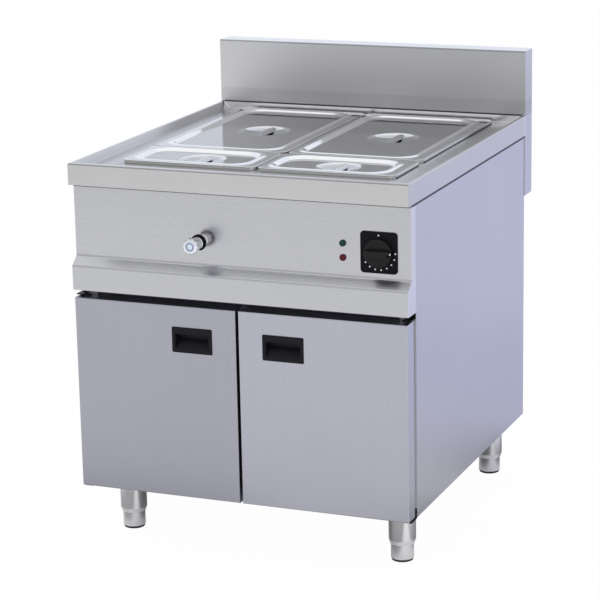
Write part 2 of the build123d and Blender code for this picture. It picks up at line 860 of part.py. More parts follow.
# Legs: plate under the floor with a sleeve, and a levelling foot inside it
with BuildPart() as legs:
    plate_z0 = leg_height - leg_plate_thick
    bore = foot_radius + slide_gap
    for x, y in leg_spots:
        half = leg_plate / 2
        block((x - half, x + half), (y - half, y + half), (plate_z0, leg_height))
        post(x, y, (sleeve_end, plate_z0), sleeve_radius)
        with Locations((x, y, sleeve_end - sleeve_taper / 2)):
            Cone(bore + sheet, sleeve_radius, sleeve_taper)
        post(x, y, (sleeve_end - sleeve_taper, plate_z0), bore, mode=Mode.SUBTRACT)
save(legs, "legs")

foot_names = ("front_left", "rear_left", "front_right", "rear_right")
for name, (x, y) in zip(foot_names, leg_spots):
    with BuildPart() as foot:
        post(x, y, (0, pad_height), pad_radius)
        fillet(foot.faces().sort_by(Axis.Z)[0].edges(), pad_height / 3)
        post(x, y, (pad_height, foot_rise), foot_radius)
        post(x, y, (foot_base, foot_rise), foot_bore, mode=Mode.SUBTRACT)
    save(foot, f"foot_{name}")

# Terminal box on the back panel, with the cable gland behind it
with BuildPart() as terminal_box:
    box_x = (gland_x - box_width / 2, gland_x + box_width / 2)
    box_z = (gland_z - box_height / 2, gland_z + box_height / 2)
    block(box_x, (carcass_rear_y - box_depth, carcass_rear_y), box_z)
    fillet(terminal_box.faces().sort_by(Axis.Y)[0].edges(), panel_bend)
    socket_y = (carcass_rear_y - gland_length, carcass_rear_y)
    rod(gland_x, gland_z, socket_y, gland_radius + hole_gap, mode=Mode.SUBTRACT)
save(terminal_box, "terminal_box")

with BuildPart() as cable_gland:
    gland_y = (carcass_rear_y - gland_length / 2, top_rear_y + gland_length)
    rod(gland_x, gland_z, (gland_y[0], top_rear_y), gland_radius)
    with BuildSketch(Plane.XZ.offset(-gland_y[1])):
        with Locations((gland_x, gland_z)):
            RegularPolygon(gland_nut, 6)
    extrude(amount=gland_length)
    rod(gland_x, gland_z, gland_y, gland_bore, mode=Mode.SUBTRACT)
save(cable_gland, "cable_gland")


def make_pan(node, x, y, length):
    """Pan with tapered walls, a flat flange and a turned-down lip that stands on the deck."""
    mouth = (gn_width - 2 * pan_flange, length - 2 * pan_flange)
    inside = (mouth[0] - 2 * pan_sheet, mouth[1] - 2 * pan_sheet)
    rim_size = (gn_width, length)
    lip_size = (gn_width - 2 * pan_sheet, length - 2 * pan_sheet)
    with BuildPart() as hollow:
        with BuildSketch(Plane.XY.offset(flange_top_z)):
            with Locations((x, y)):
                RectangleRounded(*inside, pan_corner - pan_sheet)
        extrude(amount=pan_sheet - pan_depth, taper=pan_taper)
        fillet(hollow.faces().sort_by(Axis.Z)[0].edges(), pan_round - pan_sheet)
    with BuildPart() as pan:
        with BuildSketch(Plane.XY.offset(flange_top_z)):
            with Locations((x, y)):
                RectangleRounded(*mouth, pan_corner)
        extrude(amount=-pan_depth, taper=pan_taper)
        fillet(pan.faces().sort_by(Axis.Z)[0].edges(), pan_round)
        rounded_plate(x, y, flange_top_z, rim_size, flange_corner, pan_sheet)
        with BuildSketch(Plane.XY.offset(flange_top_z)):
            with Locations((x, y)):
                RectangleRounded(*rim_size, flange_corner)
                RectangleRounded(*lip_size, flange_corner - pan_sheet, mode=Mode.SUBTRACT)
        extrude(amount=-pan_lip)
        add(hollow.part, mode=Mode.SUBTRACT)
    save(pan, node)


def inside_border(edges, x, y, size):
    """Edges of a lid that lie nearer its middle than half the width of its border."""
    reach = [side / 2 - lid_border / 2 for side in size]
    return [
        e for e in edges if abs(e.center().X - x) < reach[0] and abs(e.center().Y - y) < reach[1]
    ]


def make_lid(node, handle_node, x, y, length, dimple):
    """Pressed lid with a sunken panel, a round dimple and a strap across the dimple."""
    edge = (gn_width - 2 * lid_inset, length - 2 * lid_inset)
    edge_corner = flange_corner - lid_inset
    inner_edge = (edge[0] - 2 * lid_sheet, edge[1] - 2 * lid_sheet)
    mouth = (edge[0] - 2 * lid_border, edge[1] - 2 * lid_border)
    tub = (mouth[0] + 2 * lid_sheet, mouth[1] + 2 * lid_sheet)
    skew = lid_sheet * sqrt(2)
    floor_radius = dimple - dimple_depth
    with BuildPart() as sink:
        rounded_plate(x, y, lid_top_z, mouth, lid_corner, lid_recess)
        fillet(sink.faces().sort_by(Axis.Z)[0].edges(), lid_foot_bend)
        with Locations((x, y, lid_panel_z - dimple_depth / 2)):
            Cone(floor_radius, dimple, dimple_depth)
    with BuildPart() as lid:
        rounded_plate(x, y, lid_top_z, edge, edge_corner, lid_sheet)
        rounded_plate(x, y, lid_top_z, tub, lid_corner + lid_sheet, lid_recess + lid_sheet)
        fillet(lid.faces().sort_by(Axis.Z)[0].edges(), lid_foot_bend + lid_sheet)
        neck = lid.edges().filter_by_position(
            Axis.Z, lid_top_z - lid_sheet - rest_gap, lid_top_z - lid_sheet + rest_gap
        )
        fillet(inside_border(neck, x, y, edge), lid_edge_bend - lid_sheet)
        with Locations((x, y, lid_panel_z - (dimple_depth + lid_sheet) / 2)):
            Cone(floor_radius + skew - lid_sheet, dimple + skew, dimple_depth + lid_sheet)
        with BuildSketch(Plane.XY.offset(lid_top_z)):
            with Locations((x, y)):
                RectangleRounded(*edge, edge_corner)
                RectangleRounded(*inner_edge, edge_corner - lid_sheet, mode=Mode.SUBTRACT)
        extrude(amount=-lid_lip)
        fillet(lid.edges().group_by(Axis.Z)[-1], lid_sheet)
        add(sink.part, mode=Mode.SUBTRACT)
        fillet(inside_border(lid.edges().group_by(Axis.Z)[-1], x, y, edge), lid_edge_bend)
        rings = lid.edges().filter_by(GeomType.CIRCLE)
        fillet([e for e in rings if abs(e.radius - dimple) < rest_gap], dimple_bend)
    save(lid, node)
    with BuildPart() as strap:
        with Locations((x, y, lid_panel_z - dimple_depth / 2)):
            Cone(floor_radius, dimple, dimple_depth)
        with Locations((x, y, lid_panel_z - strap_sink - strap_sheet / 2)):
            Box(strap_width, 2 * dimple, strap_sheet, mode=Mode.INTERSECT)
    save(strap, handle_node)


for side, sx in (("left", -1), ("right", 1)):
    pan_x = sx * (gn_width + pan_gap) / 2
    front_pan_y = block_y + gn_short / 2
    rear_pan_y = block_y + gn_short + pan_gap + gn_long / 2
    make_pan(f"pan_front_{side}", pan_x, front_pan_y, gn_short)
    make_pan(f"pan_rear_{side}", pan_x, rear_pan_y, gn_long)
    make_lid(
        f"lid_front_{side}", f"lid_handle_front_{side}", pan_x, front_pan_y, gn_short, dimple_short
    )
    make_lid(
        f"lid_rear_{side}", f"lid_handle_rear_{side}", pan_x, rear_pan_y, gn_long, dimple_long
    )
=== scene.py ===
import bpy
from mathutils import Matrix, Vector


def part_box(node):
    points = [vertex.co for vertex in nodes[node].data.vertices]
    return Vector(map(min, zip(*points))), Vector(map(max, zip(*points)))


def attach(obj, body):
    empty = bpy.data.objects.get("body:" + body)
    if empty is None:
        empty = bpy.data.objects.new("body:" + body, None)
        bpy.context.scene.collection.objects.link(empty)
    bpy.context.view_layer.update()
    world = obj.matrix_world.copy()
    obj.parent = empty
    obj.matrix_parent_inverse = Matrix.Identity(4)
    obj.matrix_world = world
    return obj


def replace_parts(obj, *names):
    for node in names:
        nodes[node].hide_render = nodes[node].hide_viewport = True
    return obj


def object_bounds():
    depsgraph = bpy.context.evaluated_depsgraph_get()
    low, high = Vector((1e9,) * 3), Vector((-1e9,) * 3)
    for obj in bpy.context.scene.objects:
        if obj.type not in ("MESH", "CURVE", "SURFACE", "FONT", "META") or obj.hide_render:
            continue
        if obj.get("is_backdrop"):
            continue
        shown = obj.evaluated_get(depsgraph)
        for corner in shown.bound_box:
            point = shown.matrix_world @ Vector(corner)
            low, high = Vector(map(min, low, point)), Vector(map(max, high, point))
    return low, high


bl_info = {
    "name": "Sauce bain-marie finishes",
    "version": (1, 0, 0),
    "blender": (4, 5, 0),
    "location": "3D View > Sidebar > Bain-marie",
    "description": "Brushed sheets, moulded plastics, dial marks and a studio for a bain-marie cabinet",
    "category": "Object",
}

from math import cos, pi, radians, sin

import bpy
import numpy as np
from mathutils import Matrix, Vector

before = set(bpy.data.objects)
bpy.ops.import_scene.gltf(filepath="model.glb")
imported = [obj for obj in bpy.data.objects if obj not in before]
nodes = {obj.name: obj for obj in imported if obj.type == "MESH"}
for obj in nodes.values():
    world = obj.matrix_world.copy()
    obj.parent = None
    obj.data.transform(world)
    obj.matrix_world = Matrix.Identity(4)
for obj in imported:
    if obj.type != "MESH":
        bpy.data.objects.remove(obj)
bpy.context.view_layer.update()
SPOTS = ("front_left", "front_right", "rear_left", "rear_right")


class Wire:
    """One output of a node tree. Arithmetic on it adds Math nodes, and node() adds any other node."""

    def __init__(self, tree, socket=None):
        self.tree = tree
        self.socket = socket

    def node(self, kind, settings=None, sockets=None, out=0):
        """Add a node, set its options, then fill or link its sockets; returns one of its outputs."""
        made = self.tree.nodes.new(kind)
        for key, value in (settings or {}).items():
            setattr(made, key, value)
        for key, value in (sockets or {}).items():
            if isinstance(value, Wire):
                self.tree.links.new(value.socket, made.inputs[key])
            else:
                made.inputs[key].default_value = value
        return Wire(self.tree, made.outputs[out])

    def _math(self, operation, first, second):
        return self.node("ShaderNodeMath", {"operation": operation}, {0: first, 1: second})

    def __add__(self, other):
        return self._math("ADD", self, other)

    __radd__ = __add__

    def __sub__(self, other):
        return self._math("SUBTRACT", self, other)

    def __rsub__(self, other):
        return self._math("SUBTRACT", other, self)

    def __mul__(self, other):
        return self._math("MULTIPLY", self, other)

    __rmul__ = __mul__

    def __lt__(self, other):
        return self._math("LESS_THAN", self, other)

    def __gt__(self, other):
        return self._math("GREATER_THAN", self, other)

    def __abs__(self):
        return self.node("ShaderNodeMath", {"operation": "ABSOLUTE"}, {0: self})

    def larger(self, other):
        """The larger of this and another value."""
        return self._math("MAXIMUM", self, other)

    def split(self):
        """The x, y and z of a place."""
        parts = self.node("ShaderNodeSeparateXYZ", {}, {"Vector": self})
        return [Wire(self.tree, socket) for socket in parts.socket.node.outputs]


class SteelFinish(bpy.types.PropertyGroup):
    """Colours and grain of the sheet metal. The colours differ from part to part as painted light and
    shade, and the bluish tint of the sides and doors is a painted cool reflection.
    """

    top: bpy.props.FloatVectorProperty(
        name="Worktop", description="Colour of the pressed worktop",
        default=(0.60, 0.597, 0.607), subtype="COLOR", min=0, max=1)
    # Painted shade: how much darker the sunken deck is painted than the apron.
    deck_shade: bpy.props.FloatProperty(
        name="Deck fade", description="How much duller the sunken deck is than the apron",
        default=0.34, min=0, max=1, subtype="FACTOR")
    splash: bpy.props.FloatVectorProperty(
        name="Upstand", description="Colour of the upstand along the rear edge",
        default=(0.735, 0.74, 0.77), subtype="COLOR", min=0, max=1)
    panel: bpy.props.FloatVectorProperty(
        name="Control panel", description="Colour of the control panel",
        default=(0.565, 0.57, 0.60), subtype="COLOR", min=0, max=1)
    side: bpy.props.FloatVectorProperty(
        name="Sides", description="Colour of the side panels and the carcass",
        default=(0.60, 0.60, 0.66), subtype="COLOR", min=0, max=1)
    # Painted shade and painted cool reflection: the doors are darker and bluer than the sheets above.
    door: bpy.props.FloatVectorProperty(
        name="Doors", description="Colour of the door skins",
        default=(0.50, 0.505, 0.575), subtype="COLOR", min=0, max=1)
    lid: bpy.props.FloatVectorProperty(
        name="Lids and pans", description="Colour of the pressed lids and pans",
        default=(0.84, 0.842, 0.85), subtype="COLOR", min=0, max=1)
    leg: bpy.props.FloatVectorProperty(
        name="Legs", description="Colour of the legs and feet",
        default=(0.84, 0.84, 0.86), subtype="COLOR", min=0, max=1)
    grain: bpy.props.FloatProperty(
        name="Grain width", description="Width of one brush line",
        default=0.0008, min=0.0001, max=0.01, unit="LENGTH")
    roughness: bpy.props.FloatProperty(
        name="Roughness", description="How far the brushed sheets blur what they reflect",
        default=0.34, min=0, max=1, subtype="FACTOR")


class LidShape(bpy.types.PropertyGroup):
    """Section of the pressed lids."""

    border: bpy.props.FloatProperty(
        name="Border", description="From the lid's edge to the crest of its bead", default=0.016,
        unit="LENGTH")
    recess: bpy.props.FloatProperty(
        name="Recess", description="Depth of the panel under the border", default=0.0065, unit="LENGTH")
    edge_corner: bpy.props.FloatProperty(
        name="Edge corner", description="Corner radius of the lid's edge", default=0.019, unit="LENGTH")
    mouth_corner: bpy.props.FloatProperty(
        name="Recess corner", description="Corner radius of the recess", default=0.048, unit="LENGTH")
    side: bpy.props.FloatProperty(
        name="Side", description="How much wider the border is at the right", default=0.016, unit="LENGTH")
    slope: bpy.props.FloatProperty(
        name="Slope", description="Width of the sloping wall between bead and panel", default=0.014,
        unit="LENGTH")
    sheet: bpy.props.FloatProperty(
        name="Sheet", description="Thickness of the steel", default=0.0008, unit="LENGTH")
    skirt: bpy.props.FloatProperty(
        name="Skirt", description="Height of the turned-down edge", default=0.0023, unit="LENGTH")
    edge: bpy.props.FloatProperty(
        name="Edge", description="Radius of the lid's outer edge", default=0.0007, unit="LENGTH")
    power: bpy.props.FloatProperty(
        name="Bowl", description="Power of the radius in the dimple's depth", default=2.6, min=1, max=8)
    dimple: bpy.props.FloatProperty(
        name="Dimple", description="Depth of the round dimple", default=0.0110, unit="LENGTH")
    bead: bpy.props.FloatProperty(
        name="Bead", description="Height of the bead round the recess", default=0.0015, unit="LENGTH")
    rise: bpy.props.FloatProperty(
        name="Rise", description="Width of the bead's outer slope", default=0.006, unit="LENGTH")
    strap: bpy.props.FloatProperty(
        name="Strap", description="Half of the width of the strap", default=0.013, unit="LENGTH")


class DialMarks(bpy.types.PropertyGroup):
    """The printed ring of dots round the thermostat knob."""

    ring: bpy.props.FloatProperty(
        name="Ring radius", description="Distance of the dots from the knob's axis",
        default=0.0375, min=0.01, max=0.1, unit="LENGTH")
    dot: bpy.props.FloatProperty(
        name="Dot radius", description="Radius of one dot",
        default=0.0019, min=0.0002, max=0.01, unit="LENGTH")
    step: bpy.props.FloatProperty(
        name="Step", description="Angle from one dot to the next",
        default=radians(20.5), min=0, max=pi, subtype="ANGLE")
    skirt: bpy.props.FloatProperty(
        name="Skirt", description="Thickness of the knob's round skirt", default=0.008, unit="LENGTH")
    count: bpy.props.IntProperty(
        name="Dots", description="Number of dots on the heating scale", default=8, min=1, max=40)


class StudioSettings(bpy.types.PropertyGroup):
    """Camera and light."""

    place: bpy.props.FloatVectorProperty(
        name="Camera", description="Place of the camera", default=(1.9898, -4.906, 1.8813),
        subtype="TRANSLATION", unit="LENGTH")
    azimuth: bpy.props.FloatProperty(
        name="Azimuth", description="Turn of the view round the cabinet",
        default=radians(22.32), subtype="ANGLE")
    elevation: bpy.props.FloatProperty(
        name="Elevation", description="Height of the view above the horizon",
        default=radians(14.63), subtype="ANGLE")
    roll: bpy.props.FloatProperty(
        name="Roll", description="Tilt of the picture", default=radians(-1.134), subtype="ANGLE")
    lens: bpy.props.FloatProperty(
        name="Lens", description="Focal length on a 36 mm sensor", default=139.5, unit="CAMERA")
    sky: bpy.props.FloatProperty(
        name="Room light", description="Strength of the even light from all round",
        default=0.75, min=0, max=5)
    front: bpy.props.FloatVectorProperty(
        name="Front of the room",
        description="Colour of the room before the cabinet, as the steel mirrors it",
        default=(0.70, 0.70, 0.70), subtype="COLOR", min=0, max=1)
    front_high: bpy.props.FloatVectorProperty(
        name="Front, high up",
        description="Colour of the room high before the cabinet, as the steel mirrors it",
        default=(0.56, 0.56, 0.56), subtype="COLOR", min=0, max=1)
    window: bpy.props.FloatProperty(
        name="Window", description="Way to the bright window, as a turn from the front", default=radians(48),
        subtype="ANGLE")
    rear: bpy.props.FloatVectorProperty(
        name="Rear of the room", description="Colour of the room behind the cabinet, as the steel mirrors it",
        default=(0.86, 0.90, 0.98), subtype="COLOR", min=0, max=1)
    floor_dim: bpy.props.FloatProperty(
        name="Floor shade", description="How dim the steel mirrors the floor close to the cabinet",
        default=0.56, min=0, max=1, subtype="FACTOR")
    floor_rear: bpy.props.FloatVectorProperty(
        name="Rear floor", description="Colour of the floor behind the cabinet, as the steel mirrors it",
        default=(0.78, 0.80, 1.0), subtype="COLOR", min=0, max=1)


def fresh_material(name):
    """A new material with a Principled shader; returns it, its shader node and a wire to build on."""
    material = bpy.data.materials.new(name)
    material.use_nodes = True
    return material, material.node_tree.nodes["Principled BSDF"], Wire(material.node_tree)


def feed(shader, **links):
    """Link wires to the shader's sockets, or set plain values on them; names use _ for a space."""
    for key, value in links.items():
        socket = shader.inputs[key.replace("_", " ")]
        if isinstance(value, Wire):
            value.tree.links.new(value.socket, socket)
        else:
            socket.default_value = value


def tinted(start, amount, dark, light):
    """A colour between two others, plain or wired, by a 0 to 1 amount."""
    first, second = (c if isinstance(c, Wire) else (*c, 1) for c in (dark, light))
    return start.node("ShaderNodeMix", {"data_type": "RGBA"}, {0: amount, 6: first, 7: second}, out=2)


def scaled(colour, amount):
    """A plain colour times a number."""
    return [amount * c for c in colour]


def ease(value, low, high):
    """0 below low, 1 above high, and a smooth step between."""
    return value.node(
        "ShaderNodeMapRange", {"interpolation_type": "SMOOTHSTEP"},
        {"Value": value, "From Min": low, "From Max": high})


def noise(place, scale, detail=2.0, roughness=0.5):
    """Noise over a place, with so many lumps to the metre."""
    return place.node(
        "ShaderNodeTexNoise", {},
        {"Vector": place, "Scale": scale, "Detail": detail, "Roughness": roughness})


# Brushed steel: length of a brush line, streaks to a line, clouds to the metre, depth of the brushing,
# and the share of the mirror that a mill finish lacks
LINE_LENGTH = 0.25
STREAKS_TO_A_LINE = 0.09
CLOUDS = 5.0
BRUSH_DEPTH = 0.0002
MILL_SCATTER = 0.7
# Shares of the lines, the streaks and the clouds in the colour, and in the roughness above its least
COLOUR_SHARES = (0.4, 0.3, 0.3)
ROUGH_SHARES = (0.25, 0.2, 0.15)
LEAST_ROUGH = 0.70


def brushed_sheet(
        name, colour, along, grain, roughness, depth=0.12, ends=None, tone=None, spread=0.14, dull=None):
    """Steel with brush lines along one axis, or round a post for two, broad faint streaks and clouds.

    The lines are noise squeezed across the brushing and drawn out along it. Beyond the distance ends from
    the middle they run front to back, as on a folded side. tone gives a brightness from x, y and z, which
    paints light and shade into the colour, and spread is how far the lines and clouds vary the colour. dull
    is 1 where the sheet has its mill finish, which scatters light.
    """
    material, shader, start = fresh_material(name)
    place = start.node("ShaderNodeTexCoord", out="Object")
    x, y, z = place.split()
    drawn = grain / LINE_LENGTH
    stretch = [drawn if axis in along else 1.0 for axis in "XYZ"]
    if ends:
        stretch = start.node(
            "ShaderNodeMix", {"data_type": "VECTOR"},
            {0: abs(x) > ends, 4: stretch, 5: (1.0, drawn, 1.0)}, out=1)
    squeezed = start.node("ShaderNodeVectorMath", {"operation": "MULTIPLY"}, {0: place, 1: stretch})
    lines = noise(squeezed, 1 / grain, 3.0, 0.6)
    streaks = noise(squeezed, STREAKS_TO_A_LINE / grain, 2.0, 0.6)
    clouds = noise(place, CLOUDS)

    def blended(shares):
        return lines * shares[0] + streaks * shares[1] + clouds * shares[2]

    steel = tinted(start, blended(COLOUR_SHARES), scaled(colour, 1 - spread), scaled(colour, 1 + spread))
    # Painted light and shade: the tone scales the colour by place.
    if tone:
        steel = start.node(
            "ShaderNodeVectorMath", {"operation": "SCALE"}, {"Vector": steel, "Scale": tone(x, y, z)})
    bump = start.node(
        "ShaderNodeBump", {}, {"Strength": depth, "Distance": BRUSH_DEPTH, "Height": lines + streaks})
    feed(
        shader, Base_Color=steel, Metallic=1 - dull(x, y, z) * MILL_SCATTER if dull else 1.0,
        Roughness=roughness * (LEAST_ROUGH + blended(ROUGH_SHARES)), Normal=bump)
    return material


# Moulded plastic: scuffs to the metre, their darkest and lightest colour, how they vary the roughness, and
# the depth of the grain
SCUFFS = 60.0
SCUFF_TONES = (0.8, 1.3)
SCUFF_ROUGH = (-0.05, 0.12)
PORE_DEPTH = 0.0003


def moulded(name, colour, roughness, grain=1800.0, depth=0.12, gloss=0.25):
    """Moulded plastic with a fine leathery grain and slightly uneven shine."""
    material, shader, start = fresh_material(name)
    place = start.node("ShaderNodeTexCoord", out="Object")
    pores = noise(place, grain)
    scuffs = noise(place, SCUFFS, 3.0, 0.6)
    bump = start.node(
        "ShaderNodeBump", {}, {"Strength": depth, "Distance": PORE_DEPTH, "Height": pores})
    dark, light = (scaled(colour, tone) for tone in SCUFF_TONES)
    feed(
        shader, Base_Color=tinted(start, scuffs, dark, light),
        Roughness=roughness + SCUFF_ROUGH[0] + scuffs * SCUFF_ROUGH[1], Normal=bump,
        Specular_IOR_Level=gloss)
    return material


def paint(material, *names):
    """Give CAD nodes a material."""
    for name in names:
        mesh = nodes[name].data
        mesh.materials.clear()
        mesh.materials.append(material)


def skin(name, grids, body, material, crease=radians(38)):
    """Closed mesh from grids of points. A grid's rows are closed rings that run anticlockwise about the way
    the rows go, and its first and last rings are capped. Edges sharper than the crease stay sharp."""
    coords, faces, base = [], [], 0
    for grid in grids:
        rows, columns = grid.shape[:2]
        index = base + np.arange(rows * columns).reshape(rows, columns)
        turned = np.roll(index, -1, axis=1)
        quads = np.stack([index[:-1], turned[:-1], turned[1:], index[1:]], axis=-1).reshape(-1, 4)
        coords.append(grid.reshape(-1, 3))
        faces += quads.tolist() + [index[0, ::-1].tolist(), index[-1].tolist()]
        base += rows * columns
    mesh = bpy.data.meshes.new(name)
    mesh.from_pydata(np.concatenate(coords).tolist(), [], faces)
    mesh.materials.append(material)
    mesh.shade_smooth()
    mesh.set_sharp_from_angle(angle=crease)
    piece = bpy.data.objects.new(name, mesh)
    bpy.context.collection.objects.link(piece)
    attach(piece, body)
    return piece


def turned_part(profile, centre, sides):
    """Surface of revolution about an axis along Y: each (radius, height) of the profile is swept round the
    axis, with height measured out towards the front."""
    radius, height = np.array(profile).T
    angle = np.linspace(0, 2 * pi, sides, endpoint=False)
    x = centre[0] + radius[:, None] * np.cos(angle)
    z = centre[2] + radius[:, None] * np.sin(angle)
    y = np.broadcast_to(centre[1] - height[:, None], x.shape)
    return np.stack([x, y, z], axis=-1)


def rounded_section(half_u, half_v, power=4.0, sides=24):
    """Section with rounded corners: the curve |u / a|^n + |v / b|^n = 1, by its angle."""
    def reach(half, way):
        return half * np.sign(way) * np.abs(way) ** (2 / power)

    angle = np.linspace(0, 2 * pi, sides, endpoint=False)
    return np.stack([reach(half_u, np.cos(angle)), reach(half_v, np.sin(angle))], axis=-1)


def straight_bar(first, last, section, u, v):
    """A section carried along a straight path: the path's ends plus the section's offsets along u and v."""
    path = np.array([first, last])[:, None, :]
    return path + section[None, :, :1] * np.array(u) + section[None, :, 1:] * np.array(v)


def corner_rings(half_x, half_y, corner, quarter):
    """Rounded rectangles, one per row: a quarter circle about each corner's centre, with straight sides
    between; also the directions of as many points spread evenly round a circle."""
    spot = np.arange(4 * quarter)
    side, along = np.divmod(spot, quarter)
    angle = (side + along / (quarter - 1)) * pi / 2
    middle = (side + 0.5) * pi / 2
    even = (spot + 0.5) / quarter * pi / 2
    radius = corner[:, None]
    x = np.sign(np.cos(middle)) * (half_x[:, None] - radius) + radius * np.cos(angle)
    y = np.sign(np.sin(middle)) * (half_y[:, None] - radius) + radius * np.sin(angle)
    return np.stack([x, y], axis=-1), np.stack([np.cos(even), np.sin(even)], axis=-1)


# A lid's rings: how many round its edge, over each slope and in its dimple, and how the last are spaced
EDGE_RINGS, SLOPE_RINGS, BOWL_RINGS = 7, 17, 28
BOWL_SPACING = 0.9
# Insets past the rounded edge and past the wall's foot, and shares of the way from there to the dimple
EDGE_LEAD = 0.0004
PANEL_STARTS = (0.0006, 0.0030)
PANEL_WAY = (0.3, 0.6, 0.85)
# Outermost, next and innermost rings of the dimple, in its radius, and the softness of its brim
BRIM, BOWL_START, BOWL_END = 1.12, 1.10, 0.02
BRIM_SOFT = 0.0009
# What a lid's marks grow by past the last inset: on the panel, and for each radius of the dimple
PANEL_MARK = 0.01
DIMPLE_MARK = 0.03


def lid_section(shape, lower):
    """Path of (inset, depth) from the lid's edge to its panel: a skirt, a rounded edge, a flat border, a bead
    and a wall. Bead and wall are smooth steps t^2 (3 - 2 t). lower moves it to the sheet's underside."""
    turn = np.linspace(0, pi / 2, EDGE_RINGS)
    edge, bead = shape.edge, shape.bead
    if lower:
        start = np.array([[lower / 2, -shape.skirt], [edge + lower, -bead - lower]])
    else:
        start = np.stack([edge * (1 - np.cos(turn)), edge * (np.sin(turn) - 1) - bead], axis=-1)
        start = np.concatenate([[[0, -shape.skirt]], start, [[edge + EDGE_LEAD, -bead]]])
    step = np.linspace(0, 1, SLOPE_RINGS)
    smooth = step ** 2 * (3 - 2 * step)
    outer = np.stack([shape.border - shape.rise * (1 - step), bead * (smooth - 1) - lower], axis=-1)
    wall = np.stack([shape.border + shape.slope * step, -shape.recess * smooth - lower], axis=-1)
    foot = shape.border + shape.slope
    panel = [[foot + out, -shape.recess - lower] for out in PANEL_STARTS]
    return np.concatenate([start, outer, wall[1:], panel])


def pressed_lid(low, high, radius, shape, quarter=16):
    """Pressed lid as one closed skin, from the middle of its underside round the edge to the middle of its
    top. Each inset of the section is a rounded rectangle. On the panel the rectangle turns into a circle, and
    inside that the depth is the soft positive part of h (1 - (r / R)^n). The fourth number is the mark, which
    is the inset and grows on over the panel and the dimple."""
    def half_skin(lower):
        inset, depth = lid_section(shape, lower).T
        corner = np.interp(
            inset, [0, shape.edge, shape.border, shape.border + shape.slope],
            [shape.edge_corner, shape.edge_corner - shape.edge, shape.mouth_corner,
             shape.mouth_corner - shape.slope])
        wider = np.interp(inset, [shape.edge, shape.border], [0, shape.side])
        rings, even = corner_rings(
            (high[0] - low[0]) / 2 - inset - wider / 2, (high[1] - low[1]) / 2 - inset, corner, quarter)
        rings[..., 0] -= wider[:, None] / 2
        way = np.array(PANEL_WAY)[:, None, None]
        panel = rings[-1] * (1 - way) + even * radius * BRIM * way
        inwards = np.linspace(0, 1, BOWL_RINGS) ** BOWL_SPACING
        reach = np.concatenate([[BRIM], BOWL_START + (BOWL_END - BOWL_START) * inwards])
        hollow = shape.dimple * (1 - reach ** shape.power)
        sunk = 0.5 * (hollow + np.sqrt(hollow ** 2 + BRIM_SOFT ** 2))
        flat = np.concatenate([rings, panel, (reach * radius)[:, None, None] * even])
        level = np.concatenate([depth, np.full(len(way), depth[-1]), depth[-1] - sunk])
        height = np.broadcast_to(high[2] + level[:, None, None], (*flat.shape[:2], 1))
        past = np.concatenate([np.full(len(way), PANEL_MARK), DIMPLE_MARK * (1 + BRIM - reach)])
        mark = np.concatenate([inset, inset[-1] + past])
        mark = np.broadcast_to(mark[:, None, None], height.shape)
        middle = [(low[0] + high[0]) / 2, (low[1] + high[1]) / 2]
        return np.concatenate([flat + middle, height, mark], axis=-1)

    return np.concatenate([half_skin(shape.sheet)[::-1], half_skin(0.0)])


def strap_bar(centre, reach, half, thick, crown, waist=0.14, sag=0.0062, rows=33):
    """Strap along Y over a dimple: a flat rounded section whose edges sag with the third power of the width,
    waisted and arched by the square of the distance from its middle."""
    run = np.linspace(-1, 1, rows)[:, None]
    section = rounded_section(half, thick / 2, power=5.0, sides=40)
    across = section[:, 0] * (1 - waist + waist * run ** 2)
    droop = sag * np.abs(section[:, 0] / half) ** 3
    x = centre[0] - across
    y = np.broadcast_to(centre[1] + reach * run, x.shape)
    z = centre[2] + section[:, 1] - droop - crown * run ** 2
    return np.stack([x, y, z], axis=-1)


def lobed_part(profile, centre, lobes, sides):
    """Handwheel about an axis along Y: each (radius, depth, flute) of the profile, from the hub to the face,
    is a ring whose radius falls by the flute between the lobes, as flute (1 - cos(lobes x angle)) / 2."""
    radius, depth, flute = np.array(profile).T
    angle = np.linspace(0, 2 * pi, sides, endpoint=False)
    reach = radius[:, None] - flute[:, None] * (1 - np.cos(lobes * angle)) / 2
    y = np.broadcast_to(centre[1] + depth[:, None], reach.shape)
    return np.stack([centre[0] + reach * np.cos(angle), y, centre[2] + reach * np.sin(angle)], axis=-1)


def cross_head(centre, radius, rise, sides=48):
    """Domed screw head that faces the rear: a circular arc in section, with the two arms of a cross sunk into
    it where the distance to the nearer arm's middle line is under the arm's half width. Widths are shares of
    the radius, and depths are shares of the rise."""
    crown, sunk, rings = 0.65, 0.55, np.linspace(0.97, 0.02, 22)
    half_arm, arm_soft, long_arm, end_soft = 0.13, 0.10, 0.62, 0.15
    reach = np.concatenate([[1, 1], rings])[:, None]
    angle = np.linspace(0, 2 * pi, sides, endpoint=False)
    x, z = reach * np.cos(angle), reach * np.sin(angle)
    dome = 1 - crown + crown * np.sqrt(np.clip(1 - reach ** 2, 0, 1))
    arm = np.clip((half_arm - np.minimum(abs(x), abs(z))) / arm_soft + 0.5, 0, 1)
    inner = np.clip((long_arm - reach) / end_soft, 0, 1)
    height = rise * (dome - sunk * arm * inner)
    height[0] = 0.0
    return np.stack([centre[0] - radius * x, centre[1] + height, centre[2] + radius * z], axis=-1)


def front_centre(name):
    """Middle of a node's front face."""
    low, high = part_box(name)
    return ((low[0] + high[0]) / 2, low[1], (low[2] + high[2]) / 2)


